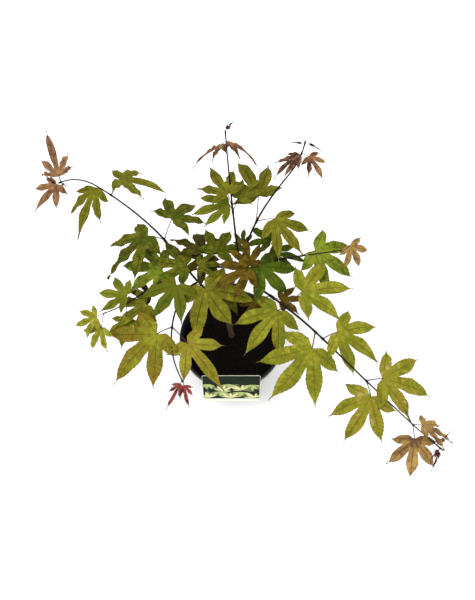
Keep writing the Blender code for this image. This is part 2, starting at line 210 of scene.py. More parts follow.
# %% Limbs from bearings and rises
# A limb is a bough of its own up to bare, and the stem of its leaf mass from there on.
Limb = namedtuple("Limb", "parent at length bare bearings rises radii")
SOIL_TOP = 92.0
TRUNK_FOOT = (0.0, 7.5, SOIL_TOP + 0.4)
FOOT_RISE = 3.0
TRUNK = Limb(None, 0, 144, 144, (130, 75, 15), (76, 72, 70), (3.2, 2.4))
LIMBS = {
    "left_back": Limb("trunk", 62, 262, 100, (160, 150, 134, 142, 150, 158, 190),
                      (44, 45, 46, 30, 27, 27, -30), (1.5, 0.7)),
    "back": Limb("trunk", 144, 156, 60, (108, 100, 98, 97, 95), (55, 50, 45, 40, 40), (1.3, 0.7)),
    "right_back": Limb("trunk", 144, 163, 50, (74, 60, 45, 38, 76), (50, 45, 43, 40, 45), (1.3, 0.7)),
    "right": Limb("trunk", 142, 122, 40, (0, 0, -2, 0), (22, 26, 22, 20), (1.0, 0.55)),
    "right_front": Limb("trunk", 142, 301, 52, (294, 318, 316, 312, 312, 314, 316, 321),
                        (15, 15, 10, 5, 3, 0, -5, -5), (1.4, 0.55)),
    "left": Limb("trunk", 139, 168, 34, (178, 190, 214, 222, 207), (12, 6, 10, 12, 15), (1.3, 0.6)),
    "left_front": Limb("trunk", 124, 182, 52, (184, 216, 254, 273, 302), (22, 22, 12, 0, -15), (1.4, 0.6)),
    "crown": Limb("trunk", 144, 32, 0, (285, 290), (65, 55), (1.2, 0.9)),
}
STEP = 8.0  # length between two turns of a limb, in millimetres like every length of the plant
FINE_STEP = 1.5  # length between two points of a shoot
ROUNDINGS = 3


def heading(bearing, rise):
    b, r = math.radians(bearing), math.radians(rise)
    return np.array((math.cos(b) * math.cos(r), math.sin(b) * math.cos(r), math.sin(r)))


def grow(start, limb):
    steps = max(3, round(limb.length / STEP))
    middles = (np.arange(steps) + 0.5) / steps
    bearings = np.interp(middles, np.linspace(0, 1, len(limb.bearings)), limb.bearings)
    rises = np.interp(middles, np.linspace(0, 1, len(limb.rises)), limb.rises)
    moves = [heading(b, r) * limb.length / steps for b, r in zip(bearings, rises)]
    return np.vstack([start, start + np.cumsum(moves, axis=0)])


def distances(points):
    return np.concatenate([[0.0], np.cumsum(np.linalg.norm(np.diff(points, axis=0), axis=1))])


def along(points, distance):
    lengths = distances(points)
    return np.array([np.interp(distance, lengths, points[:, axis]) for axis in range(3)])


def smooth_path(points, step):
    """The same path with a point every step, rounded a little where it turned."""
    lengths = distances(points)
    places = np.linspace(0, lengths[-1], max(4, round(lengths[-1] / step)))
    made = np.stack([np.interp(places, lengths, points[:, axis]) for axis in range(3)], axis=1)
    for _ in range(ROUNDINGS):
        made[1:-1] = (made[:-2] + 2 * made[1:-1] + made[2:]) / 4
    return made


PATHS = {"trunk": np.vstack([TRUNK_FOOT, grow(np.array(TRUNK_FOOT) + (0, 0, FOOT_RISE), TRUNK)])}
for name, limb in LIMBS.items():
    PATHS[name] = grow(along(PATHS[limb.parent], limb.at), limb)
    print(f"{name:12s} {limb.length} mm, tip at", PATHS[name][-1].round(0))

# %% [markdown]
# ## Where the leaves stand
# A leaf record says where its stalk leaves the shoot, where the stalk points, and how the blade lies: its
# bearing, how far it droops and how far it rolls. Then come its length and its tint. Old leaves near the
# middle are green or bronze, those at the tips of the shoots are copper and red.

# %% Leaf records
Leaf = namedtuple("Leaf", "at stalk blade size tint spread slim curl", defaults=(1.0, 1.0, 0.14))
# Leaves that lie in shade inside the crown take the darkest tints, which paint that shade.
LEAVES = {
    "left_back": [
        Leaf(121, (65, 35, 26), (56, 24, 0), 56, "moss_and_painted_shade", 1.1, 0.95, 0.25),
        Leaf(121, (175, 20, 20), (216, 10, 25), 66, "moss_and_painted_shade", 1.0, 1.0, 0.22),
        Leaf(106, (250, 15, 31), (168, 10, 0), 56, "spring"),
        Leaf(199, (50, 35, 21), (0, 12, -28), 54, "olive", 1.3, 0.85),
        Leaf(199, (160, 20, 19), (246, 12, 12), 60, "olive", 0.72, 0.8, 0.2),
        Leaf(260, (110, 40, 7), (108, 0, 0), 76, "copper", 0.72, 0.5),
        Leaf(260, (215, 0, 6), (229, 10, 0), 38, "copper", 1.05, 0.85),
    ],
    "back": [
        Leaf(67, (120, 65, 26), (122, 5, 0), 46, "olive", 1.05, 0.9, 0.15),
        Leaf(67, (120, 30, 9), (188, 10, -10), 46, "grass", 0.75, 0.95, 0.1),
        Leaf(67, (60, 40, 16), (48, -8, -20), 38, "grass", 0.9, 0.95, 0.1),
        Leaf(138, (180, 35, 4), (195, 0, 40), 38, "rust", 1.0, 0.7, 0.45),
        Leaf(138, (75, 35, 4), (345, 0, -40), 40, "rust", 1.0, 0.7, 0.45),
        Leaf(153, (70, 40, 4), (55, -5, 0), 15, "wine", 0.5, 0.55),
    ],
    "right_back": [
        Leaf(57, (85, 25, 28), (112, 0, 0), 60, "olive", 1.0, 0.95, 0.25),
        Leaf(57, (350, 33, 23), (312, 12, 0), 50, "olive", 0.85, 1.05, 0.25),
        Leaf(148, (260, 40, 4), (207, 12, 20), 38, "rust", 0.6, 0.9, 0.2),
        Leaf(148, (330, 15, 9), (310, 20, 0), 31, "rust", 0.9, 0.8),
    ],
    "right": [
        Leaf(45, (140, 10, 12), (358, 10, 0), 48, "vivid", 0.6, 0.85),
        Leaf(45, (118, 45, 24), (135, 10, 0), 34, "vivid", 1.1),
        Leaf(74, (20, 5, 16), (332, 18, 0), 56, "spring", 1.1),
        Leaf(122, (35, 10, 8), (310, 40, 0), 32, "tan"),
    ],
    "right_front": [
        Leaf(79, (32, 48, 28), (12, 5, 0), 60, "lime", 1.05),
        Leaf(79, (178, -48, 13), (230, 10, 0), 62, "turning"),
        Leaf(133, (20, 20, 17), (335, 15, 0), 58, "lime"),
        Leaf(122, (258, -10, 18), (232, 10, 0), 72, "lime"),
        Leaf(197, (5, 10, 17), (350, 15, 0), 62, "honey"),
        Leaf(197, (288, -20, 17), (240, 20, 0), 58, "honey"),
        Leaf(261, (350, 15, 10), (342, 15, -40), 38, "tan"),
        Leaf(261, (277, -20, 15), (266, 30, 0), 46, "tan"),
        Leaf(60, (0, -35, 10), (8, 5, 0), 30, "bronze"),
        Leaf(56, (172, -50, 26), (232, 30, 0), 26, "bronze"),
    ],
    "left": [
        Leaf(40, (100, 45, 18), (100, 30, 10), 60, "umber_painted_shade", 1.0, 0.95, 0.1),
        Leaf(54, (170, 60, 12), (172, 0, 0), 44, "moss_and_painted_shade", 1.0, 1.15),
        Leaf(54, (350, 60, 16), (5, -10, 0), 28, "moss_and_painted_shade"),
        Leaf(37, (50, 35, 22), (66, 12, 0), 40, "moss_and_painted_shade", 1.2, 1.15),
        Leaf(39, (100, 60, 14), (262, 6, 0), 36, "umber_painted_shade", 1.1),
        Leaf(131, (165, 45, 10), (168, 15, 0), 40, "grass"),
        Leaf(118, (290, -10, 13), (210, 15, 0), 45, "khaki"),
        Leaf(118, (60, -70, 30), (165, 5, 0), 30, "umber_painted_shade"),
        Leaf(140, (260, -60, 24), (255, 25, 0), 34, "lime"),
        Leaf(168, (220, 25, 10), (195, 20, 0), 30, "pale"),
        Leaf(168, (262, -15, 15), (230, 35, 0), 32, "pale"),
    ],
    "left_front": [
        Leaf(60, (335, 30, 20), (305, 8, 0), 51, "khaki", 1.2, 1.35),
        Leaf(60, (205, 50, 26), (238, 0, 0), 46, "green", 1.1, 1.1),
        Leaf(119, (208, 5, 18), (222, 12, 0), 72, "amber", 1.1, 0.95),
        Leaf(119, (313, 0, 25), (312, 15, 0), 65, "gold", 1.15, 0.75),
        Leaf(180, (240, 0, 4), (238, 30, 0), 36, "red", 0.6, 0.55),
        Leaf(182, (285, 0, 4), (280, 40, 0), 30, "red", 0.8, 0.6),
        Leaf(56, (352, -3, 37), (296, 30, 0), 34, "moss_and_painted_shade"),
    ],
    "crown": [
        Leaf(32, (330, 30, 5), (205, 5, 0), 47, "bronze", 1.0, 0.95),
        Leaf(32, (20, 60, 7), (98, -12, 0), 34, "bronze"),
        Leaf(22, (352, 28, 21), (312, 8, 0), 45, "vivid", 1.1, 1.15),
        Leaf(14, (90, 10, 26), (85, 0, 0), 22, "moss_and_painted_shade"),
    ],
}
YOUNG = {
    "left_back": [
        Leaf(262, (190, 20, 4), (152, 0, 0), 15, "wine", 0.45, 0.5),
        Leaf(262, (240, 0, 3), (215, 0, 30), 10, "wine", 0.6, 0.5),
        Leaf(262, (330, 10, 3), (340, 10, 0), 9, "wine", 0.6, 0.5),
    ],
    "right_back": [
        Leaf(160, (200, 30, 4), (172, -5, 30), 14, "wine", 0.5, 0.5),
        Leaf(160, (340, 20, 5), (335, 5, -30), 16, "wine", 0.5, 0.5),
    ],
    "right_front": [
        Leaf(292, (30, 25, 6), (48, -10, 0), 15, "crimson", 0.45, 0.45),
        Leaf(296, (250, 10, 4), (252, 15, 0), 22, "crimson", 0.45, 0.45),
        Leaf(298, (200, 0, 3), (226, 15, 0), 14, "crimson", 0.5, 0.5),
    ],
}
ALL_LEAVES = {name: found + YOUNG.get(name, []) for name, found in LEAVES.items()}
print("leaves:", sum(len(found) for found in ALL_LEAVES.values()))

# %% [markdown]
# ## Tints
# Early autumn colour lies on this plant in a fixed way. Ribs and side veins are drawn in a thin darker
# line, the panels between them are mottled in a few near shades, and a brown flush creeps in from the
# margins and the tips. A baked texture would blur so fine a pattern over sixty leaves. Instead a blade's
# small faces take plain tones. A ramp is one hue from dark to light. A tint names five near shades, three
# shades of its flush, the tone of the rib and of the tip, and how far the flush has come. Each leaf
# record names its tint. The darkest tints are also painted shade: they go on leaves that lie in shade
# deep inside the crown.

# %% Ramps of tones
RAMPS = {
    "olive": ((0.027, 0.024, 0.002), (0.044, 0.041, 0.003), (0.068, 0.064, 0.005), (0.098, 0.091, 0.007),
              (0.126, 0.122, 0.009), (0.166, 0.160, 0.012), (0.205, 0.205, 0.016), (0.250, 0.246, 0.026),
              (0.285, 0.262, 0.060)),
    "fresh": ((0.030, 0.046, 0.003), (0.052, 0.080, 0.004), (0.082, 0.108, 0.006), (0.126, 0.158, 0.010),
              (0.160, 0.225, 0.022)),
    "ochre": ((0.052, 0.032, 0.003), (0.105, 0.066, 0.006), (0.125, 0.088, 0.008), (0.178, 0.128, 0.012),
              (0.222, 0.165, 0.022)),
    "copper": ((0.062, 0.030, 0.020), (0.130, 0.066, 0.034), (0.215, 0.110, 0.048), (0.290, 0.160, 0.072)),
    "tan": ((0.195, 0.120, 0.040), (0.285, 0.175, 0.052), (0.380, 0.240, 0.072)),
    "red": ((0.060, 0.012, 0.010), (0.150, 0.034, 0.030), (0.280, 0.058, 0.052)),
    "wine": ((0.022, 0.006, 0.008), (0.060, 0.014, 0.020), (0.150, 0.030, 0.045)),
}
TONES = {f"{hue}{step}": colour for hue, ramp in RAMPS.items() for step, colour in enumerate(ramp)}
TONE_FINISHES = {name: finish("leaf_" + name, colour, 0.7, 0.04) for name, colour in TONES.items()}

# %% Tints
Tint = namedtuple("Tint", "shades flush rib tip turned")
TINTS = {
    # Painted shade: this darkest tint goes on leaves that lie in deep shade inside the crown.
    "umber_painted_shade": Tint("ochre0 olive0 olive1 olive1 olive2", "ochre0 ochre0 ochre1", "olive0", "ochre0", 0.45),
    # Partly a real dark olive and partly painted shade: it also goes on leaves that lie in shade under
    # others.
    "moss_and_painted_shade": Tint("olive1 olive2 fresh1 olive3 olive4", "olive0 ochre0 ochre1", "olive0", "ochre0", 0.3),
    "olive": Tint("olive2 olive3 olive4 olive4 olive5", "ochre1 ochre1 ochre2", "olive1", "ochre1", 0.3),
    "grass": Tint("olive3 fresh2 olive4 fresh3 olive5", "ochre2 olive3 olive4", "olive2", "ochre1", 0.15),
    "vivid": Tint("fresh0 fresh0 fresh1 fresh1 fresh2", "fresh0 olive1 olive2", "fresh0", "ochre0", 0.1),
    "green": Tint("fresh0 fresh1 fresh2 olive3 fresh2", "olive2 olive3 fresh2", "fresh0", "ochre1", 0.1),
    "khaki": Tint("olive3 olive4 olive4 olive5 olive6", "ochre1 ochre2 olive3", "ochre0", "ochre1", 0.35),
    "spring": Tint("fresh1 fresh2 fresh3 fresh4 olive6", "ochre2 olive4 olive5", "olive3", "ochre2", 0.12),
    "lime": Tint("olive4 fresh3 olive5 olive6 olive7", "ochre2 ochre3 ochre4", "ochre2", "copper1", 0.3),
    "turning": Tint("olive4 fresh3 olive5 olive6 olive7", "ochre1 ochre2 ochre3",
                    "ochre1", "copper1", 0.35),
    "honey": Tint("olive4 olive5 olive6 ochre4 olive8", "ochre3 ochre4 copper1", "ochre2", "copper0", 0.4),
    "pale": Tint("olive4 olive5 olive6 olive7 olive8", "ochre3 tan0 tan1", "ochre2", "copper1", 0.35),
    "amber": Tint("olive3 ochre3 olive4 olive5 olive6", "ochre2 ochre3 ochre3", "ochre1", "copper0", 0.7),
    "gold": Tint("olive4 olive5 ochre4 olive6 olive7", "ochre3 ochre4 tan0", "ochre1", "copper0", 0.6),
    "bronze": Tint("ochre0 ochre0 ochre1 ochre1 ochre2", "ochre0 copper0 ochre1", "ochre0", "ochre0", 0.4),
    "rust": Tint("copper0 copper0 copper1 copper2 copper3", "copper0 copper1 copper1",
                 "copper0", "red0", 0.4),
    "copper": Tint("copper0 copper1 copper2 copper2 copper3", "copper0 copper1 copper2",
                   "copper0", "red0", 0.3),
    "tan": Tint("copper1 tan0 tan1 tan1 tan2", "copper1 copper1 tan0", "copper0", "red0", 0.3),
    "red": Tint("red0 red1 red1 red2 red2", "red0 red1 red1", "red0", "red0", 0.3),
    "crimson": Tint("red0 wine1 red0 red1 red1", "wine1 red0 red0", "wine0", "wine0", 0.3),
    "wine": Tint("wine0 wine0 wine1 wine1 wine2", "wine0 wine1 wine1", "wine0", "wine0", 0.3),
}
print(len(TONES), "tones,", len(TINTS), "tints")

# %% [markdown]
# ## One blade
# The blade is a hand of five lobes. Each half lobe is a grid between the lobe's rib and its margin: rows
# run from the stalk out to the sinus, then along the lobe to its drawn-out tail, and columns run from rib
# to margin. The rib's end of a row lags behind, so that rows slant like side veins, and each vein ends in
# a forward tooth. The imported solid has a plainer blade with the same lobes, so the fine one stays in its
# reach. A swept or subdivided shape would lose the teeth; a grid keeps them with few faces.

# %% Blade outline
LOBES = ((-86, 0.52), (-40, 0.86), (0, 1.0), (40, 0.86), (86, 0.52))  # angle, share of the size
HEM_ANGLE = 125
HEM_REACH = 0.16
SINUS = 0.3
FIRST_ROW = 0.6
FULL_PAIR = 1.5
FOLD = 0.24
HUB_ROWS = 8
TEETH = 11
VEIN = (0.72, 0.88)  # where the side vein lies in a tooth's length
TOOTH_ROWS = (0.0, 0.42, *VEIN)
SAW = (0.0, 0.55, 0.95, 1.0)
TOOTH = 0.009  # depth of a tooth, as a share of the size
RIB_LAG = 0.15
# Swell of a half lobe past the straight line from its sinus to its tip: widest before the middle, and then
# a thin tail.
PLACES = (0.0, 0.08, 0.20, 0.32, 0.45, 0.58, 0.70, 0.80, 0.88, 0.94, 1.0)
WIDTHS = (0.0, 0.012, 0.040, 0.062, 0.070, 0.063, 0.042, 0.014, -0.003, -0.003, 0.0)
COLUMNS = (0.0, 0.055, 0.2, 0.4, 0.6, 0.8, 0.945, 1.0)


def neighbours():
    """Each lobe with the sinus on either side of it, as (angle, reach)."""
    hem = (HEM_ANGLE * 2 - LOBES[-1][0], HEM_REACH)
    for index, lobe in enumerate(LOBES):
        for step in (-1, 1):
            beside = index + step
            if 0 <= beside < len(LOBES):
                depth = SINUS * min(1, (lobe[1] + LOBES[beside][1]) / FULL_PAIR)
                yield index, lobe, (LOBES[beside][0], depth)
            else:
                yield index, lobe, (math.copysign(hem[0], lobe[0]), hem[1])


def ease(low, high, values):
    share = np.clip((values - low) / (high - low), 0, 1)
    return share * share * (3 - 2 * share)


def flat_half_lobe(leaf, lobe, beside):
    """The flat grid of one half lobe: x along it, y out to the margin, and what its rows need later."""
    angle, share = lobe
    width = leaf.size * leaf.slim
    length = share * (width if angle else leaf.size)
    half = abs(math.radians((beside[0] - angle) * leaf.spread)) / 2
    sinus_along, sinus_off = beside[1] * width * math.cos(half), beside[1] * width * math.sin(half)
    start = min(FIRST_ROW, SINUS * width / length)
    teeth = max(5, round(TEETH * share))
    hub = np.linspace(-1, 0, HUB_ROWS, endpoint=False)
    rows = np.append(np.concatenate([(k + np.array(TOOTH_ROWS)) / teeth for k in range(teeth)]), 1.0)
    saw = np.append(np.tile(SAW, teeth), 0.0) - 0.5
    off = sinus_off * (1 - rows) + width * share * np.interp(rows, PLACES, WIDTHS)
    off = off + TOOTH * width * saw * np.sin(math.pi * rows) ** 0.6
    lag = rows - RIB_LAG * np.sin(math.pi * rows)
    rib = length * np.concatenate([(hub + 1) * start, start + (1 - start) * lag])
    edge = np.concatenate([(hub + 1) * sinus_along, sinus_along + (length - sinus_along) * rows])
    off = np.concatenate([(hub + 1) * sinus_off, np.maximum(off, 0.002 * width * (1 - rows))])
    u = np.array(COLUMNS)
    x, y = rib[:, None] + (edge - rib)[:, None] * u, off[:, None] * u
    return x, y, np.concatenate([hub, rows]), length, start, teeth, 1 if beside[0] > angle else -1


print("columns", len(COLUMNS) - 1, "rows on a long lobe", HUB_ROWS + TEETH * len(TOOTH_ROWS))

# %% [markdown]
# Relief comes next: the blade folds up from each rib, a groove follows the rib, the panels between the
# side veins are swollen, and the margin waves. Then each lobe has a habit of its own. It bends aside,
# twists, and its tail hooks down. The whole blade also curls down from the stalk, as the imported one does.

# %% Relief and habit of a half lobe
GROOVE_DEPTH = 0.3
GROOVE_WIDTH = 0.8
QUILT = 0.42  # height of a swollen panel


def half_lobe(leaf, lobe, beside, habit):
    x, y, places, length, start, teeth, side = flat_half_lobe(leaf, lobe, beside)
    u = np.array(COLUMNS)
    out = np.clip(places, 0, 1)[:, None]
    z = FOLD * y * u**0.3
    groove = np.exp(-((y / GROOVE_WIDTH) ** 2)) * np.sin(math.pi * np.clip(x / length, 0, 1)) ** 0.5
    z = z - GROOVE_DEPTH * groove
    quilt = np.abs(np.sin(math.pi * (out * teeth - VEIN[1]))) * np.sqrt(np.clip(4 * u * (1 - u), 0, 1))
    z = z + QUILT * quilt * ease(-0.3, 0.1, places)[:, None] * (1 - ease(0.7, 1, places)[:, None])
    wave = np.sin(2 * math.pi * (out * habit["waves"] + habit["phase"] + 0.25 * side))
    z = z + habit["wave"] * u**2 * wave * ease(0.0, 0.3, places)[:, None]
    y = y * side
    free = ease(0.0, 1.0, (x - start * length) / (length - start * length))
    twist = math.radians(habit["twist"]) * free
    y, z = y * np.cos(twist) - z * np.sin(twist), y * np.sin(twist) + z * np.cos(twist)
    y = y + habit["bend"] * length * free**2
    z = z - length * (habit["drop"] * free**2 + habit["hook"] * free**6)
    centre = math.radians(lobe[0] * leaf.spread)
    turned_x = x * math.cos(centre) - y * math.sin(centre)
    turned_y = x * math.sin(centre) + y * math.cos(centre)
    z = z - leaf.curl * (turned_x**2 + turned_y**2) / leaf.size
    return np.stack([turned_x, turned_y, z], axis=-1), places, teeth, side


def habit_of(leaf, rng):
    return {
        "wave": rng.uniform(0.7, 1.8) * leaf.size / 60,
        "waves": rng.uniform(1.2, 2.6),
        "phase": rng.uniform(),
        "twist": rng.uniform(-20, 20),
        "bend": rng.uniform(-0.07, 0.07),
        "drop": rng.uniform(-0.03, 0.05),
        "hook": rng.uniform(0.0, 0.07),
    }


sample = habit_of(LEAVES["back"][0], np.random.default_rng(1))
print("habit of a lobe:", {key: round(float(value), 2) for key, value in sample.items()})

# %% [markdown]
# A blade's place comes from its stalk's end and from three directions: forward along the middle lobe,
# across, and up out of the upper face. The mottle is a sum of two noises, one the size of a thumb print
# and one the size of a panel, with a little chance for each panel, so that shades follow the veins.

# %% Place and tone of a face
TIP_PLACE = 0.9  # share of a lobe's length where its tail takes the tone of the tip
SPECK_CHANCE = 0.02


def blade_axes(bearing, droop, roll):
    forward = heading(bearing, -droop)
    side = heading(bearing + 90, 0)
    up = np.cross(forward, side)
    c, s = math.cos(math.radians(roll)), math.sin(math.radians(roll))
    across = side * c + up * s
    return forward, across, np.cross(forward, across)


def stalk_end(path, leaf):
    bearing, rise, length = leaf.stalk
    return along(path, leaf.at) + heading(bearing, rise) * length


def face_tone(tint, place, column, in_vein, spot, chance):
    """Name of the tone of one face. The flush of autumn starts from the tips and the margins."""
    if place > TIP_PLACE:
        return tint.tip
    if column == 0 or chance < SPECK_CHANCE:
        return tint.rib
    broad, fine = noise.noise(spot * 0.05), noise.noise(spot * 0.24)
    level = 0.56 + 0.45 * broad + 0.5 * fine + 0.3 * (chance - 0.5) - 0.34 * in_vein
    shades = tint.shades.split()
    at_margin = column == len(COLUMNS) - 2 and place > 0
    wander = 0.5 * noise.noise(spot * 0.035 + Vector((7, 7, 7)))
    heat = 0.5 * max(place, 0) + 0.09 * column + wander + 0.2 * fine
    if at_margin or heat > 1.25 - tint.turned:
        shades, level = tint.flush.split(), level - 0.15 * at_margin
    return shades[int(min(max(level, 0.0), 0.999) * len(shades))]


# %% Add a blade to a mesh
BLADE_THICK = 0.35
WELD = 2e-6  # points of a blade that lie nearer than this become one, in metres
LEAST_EDGE = 1e-6


def add_blade(bm, leaf, base, rng, slots):
    """Adds one open blade, its faces in their tones. Slots maps a tone to its place among the finishes."""
    forward, across, up = blade_axes(*leaf.blade)
    habits = [habit_of(leaf, rng) for _ in LOBES]
    tint = TINTS[leaf.tint]
    seed = Vector(rng.uniform(0, 900, 3))
    for index, lobe, beside in neighbours():
        grid, places, teeth, side = half_lobe(leaf, lobe, beside, habits[index])
        spots = base + grid[..., :1] * forward + grid[..., 1:2] * across + grid[..., 2:] * up
        verts = [[bm.verts.new(Vector(p) * MM) for p in line] for line in spots]
        luck = rng.uniform(size=len(verts))
        for i in range(len(verts) - 1):
            turn = places[i] * teeth % 1
            in_vein = places[i] >= 0 and abs(turn - VEIN[0]) < 0.01
            panel = luck[int(places[i] * teeth)] if places[i] >= 0 else luck[0]
            for j in range(len(COLUMNS) - 1):
                ring = (verts[i][j], verts[i + 1][j], verts[i + 1][j + 1], verts[i][j + 1])
                face = bm.faces.new(ring if side > 0 else ring[::-1])
                middle = (grid[i, j] + grid[i + 1, j + 1]) / 2
                spot = Vector((middle[0], middle[1], 0)) + seed
                chance = 0.5 * panel + 0.5 * float(rng.uniform())
                tone = face_tone(tint, places[i], j, in_vein, spot, chance)
                face.material_index = slots.setdefault(tone, len(slots))
                face.smooth = True


def leaf_piece(name, leaves, path):
    """All blades of one mass as one piece, thin but solid."""
    bm = bmesh.new()
    rng = np.random.default_rng(sum(map(ord, name)))
    slots = {}
    for leaf in leaves:
        add_blade(bm, leaf, stalk_end(path, leaf), rng, slots)
    bmesh.ops.remove_doubles(bm, verts=bm.verts, dist=WELD)
    bmesh.ops.dissolve_degenerate(bm, dist=LEAST_EDGE, edges=bm.edges)
    piece = mesh_piece(name, bm, *[TONE_FINISHES[tone] for tone in slots])
    skin = piece.modifiers.new("skin", "SOLIDIFY")
    skin.thickness = BLADE_THICK * MM
    skin.offset = -1
    return piece


# %% Dress every mass in blades
LEAF_PIECES = {}
for name, found in ALL_LEAVES.items():
    LEAF_PIECES[name] = leaf_piece("leaves_" + name, found, PATHS[name])
    print(LEAF_PIECES[name].name, len(LEAF_PIECES[name].data.polygons), "faces before thickness")

# %% [markdown]
# ## Shoots that follow a path
# A shoot is a round rod that thins along its length and swells at each pair of leaves. Geometry Nodes
# suit this: the tree takes a curve whose points carry a radius, sweeps a circle along it, and pushes the
# skin in and out by a noise that is stretched along the shoot. One tree then serves the stem, the shoots
# and the leaf stalks, each with its own numbers.


# %% Trees of Geometry Nodes
def geometry_tree(name, **inputs):
    """A new tree with a geometry in and out, and one more input of the given type for each keyword."""
    tree = bpy.data.node_groups.new(name, "GeometryNodeTree")
    for side in ("INPUT", "OUTPUT"):
        tree.interface.new_socket("Geometry", in_out=side, socket_type="NodeSocketGeometry")
    for label, kind in inputs.items():
        tree.interface.new_socket(label, in_out="INPUT", socket_type="NodeSocket" + kind)
    web = Web(tree)
    source = tree.nodes.new("NodeGroupInput")
    return tree, web, {socket.name: Wire(web, socket) for socket in source.outputs if socket.name}


def close_tree(web, geometry, dress):
    """Ends a tree: instances turn into plain mesh, which takes its finish."""
    whole = web.node("GeometryNodeRealizeInstances", {"Geometry": geometry})
    dressed = web.node("GeometryNodeSetMaterial", {"Geometry": whole, "Material": dress})
    web.tree.links.new(dressed.socket, web.tree.nodes.new("NodeGroupOutput").inputs[0])


def run_tree(piece, tree, values):
    """Gives a piece the tree with its inputs, and turns the result into a plain mesh."""
    step = piece.modifiers.new(tree.name, "NODES")
    step.node_group = tree
    for item in tree.interface.items_tree:
        if item.name in values:
            step[item.identifier] = values[item.name]
    data = evaluated_mesh(piece)
    name = piece.name
    bpy.data.objects.remove(piece)
    data.name = name
    return add_object(name, data)


# %% A rod along a curve
GRAIN_RING = 0.004  # radius at which the noise is read round the shoot

ROD, web, given = geometry_tree(
    "rod along a curve", Sides="Int", Relief="Float", Grain="Float", Stretch="Float", Finish="Material")
travelled = web.node("GeometryNodeSplineParameter", out="Length")
kept = web.tree.nodes.new("GeometryNodeCaptureAttribute")
kept.capture_items.new("FLOAT", "travelled")
web.tree.links.new(given["Geometry"].socket, kept.inputs["Geometry"])
web.tree.links.new(travelled.socket, kept.inputs["travelled"])
circle = web.node("GeometryNodeCurvePrimitiveCircle", {"Resolution": given["Sides"], "Radius": 1.0})
radius = web.node("GeometryNodeInputRadius")
curve = Wire(web, kept.outputs["Geometry"])
swept = web.node("GeometryNodeCurveToMesh", {
    "Curve": curve, "Profile Curve": circle, "Scale": radius, "Fill Caps": True})
normal = web.node("GeometryNodeInputNormal")
length = Wire(web, kept.outputs["travelled"]) * given["Stretch"]
read_at = normal * GRAIN_RING + web.node("ShaderNodeCombineXYZ", {"Z": length})
grain = web.node("ShaderNodeTexNoise", {"Vector": read_at, "Scale": given["Grain"], "Detail": 3.0})
depth = (grain - 0.5) * given["Relief"]
push = web.node("ShaderNodeVectorMath", {0: normal, "Scale": depth}, operation="SCALE")
moved = web.node("GeometryNodeSetPosition", {"Geometry": swept, "Offset": push})
close_tree(web, web.node("GeometryNodeSetShadeSmooth", {"Geometry": moved}), given["Finish"])
print("rod tree:", len(ROD.nodes), "nodes")


# %% Curves from paths
def curve_object(name, lines):
    """A curve of several open splines, each a list of (point, radius) in millimetres."""
    data = bpy.data.curves.new(name, "CURVE")
    data.dimensions = "3D"
    for points, radii in lines:
        spline = data.splines.new("POLY")
        spline.points.add(len(points) - 1)
        for target, point, radius in zip(spline.points, points, radii):
            target.co = (*(np.array(point) * MM), 1)
            target.radius = radius * MM
    return add_object(name, data)


def limb_radii(limb, places, nodes, swell, width=2.2):
    """Even taper, with a swelling at each node."""
    thick, thin = limb.radii
    radii = thick + (thin - thick) * places / limb.length
    for node in nodes:
        radii = radii * (1 + swell * np.exp(-(((places - node) / width) ** 2)))
    return radii


def rod(name, lines, dress, depth, sides, grain=400.0, stretch=0.25):
    values = {"Sides": sides, "Relief": depth * MM, "Grain": grain, "Stretch": stretch, "Finish": dress}
    return run_tree(curve_object(name, lines), ROD, values)


# %% [markdown]
# ## Bark, shoots and stalks
# The stem's bark is grey-brown with long shallow cracks, so its colour and its relief follow a noise that
# is drawn out along Z. The shoots are almost black with a purple cast, and the stalks are red-brown.

# %% Bark and shoot finishes
bark, cracks = mottled("bark", (0.07, 0.05, 0.03), 0.8, 0.1, (0.022, 0.014, 0.007), (0.120, 0.085, 0.045),
                       900.0, 5.0, (1, 1, 0.12), 0.6)
relief(cracks, 0.6, 0.0006)
shoot, _ = mottled("shoot", (0.008, 0.004, 0.005), 0.55, 0.08, (0.003, 0.0015, 0.002),
                   (0.016, 0.007, 0.008), 500.0, 3.0)
stalk, _ = mottled("stalk", (0.05, 0.018, 0.014), 0.55, 0.08, (0.020, 0.007, 0.006), (0.070, 0.026, 0.017),
                   300.0, 2.0)
print("finishes:", bark.name, shoot.name, stalk.name)

# %% Trunk and limbs
FLARE = 0.25  # how much wider the stem is at its foot
FLARE_HEIGHT = 10.0
TRUNK_STEP = 0.8
TRUNK_NODES = (62, 124, 139)

path = smooth_path(PATHS["trunk"], TRUNK_STEP)
places = distances(path)
radii = limb_radii(TRUNK, places, TRUNK_NODES, 0.10, 3.5)
radii = radii * (1 + FLARE * np.clip(1 - places / FLARE_HEIGHT, 0, 1))
trunk = rod("bark_trunk", [(path, radii)], bark, 0.9, 24, grain=900.0, stretch=0.2)

SHOOTS = {}
for name, limb in LIMBS.items():
    path = smooth_path(PATHS[name], FINE_STEP)
    nodes = sorted({leaf.at for leaf in ALL_LEAVES[name]})
    radii = limb_radii(limb, distances(path), nodes, 0.45)
    SHOOTS[name] = rod("shoot_" + name, [(path, radii)], shoot, 0.12, 12, grain=600.0)
print("trunk", len(trunk.data.polygons), "faces")
print("shoots", sum(len(s.data.polygons) for s in SHOOTS.values()), "faces")

# %% Leaf stalks
STALK_POINTS = 14
BOW = 0.10  # rise of a stalk's middle, as a share of its length


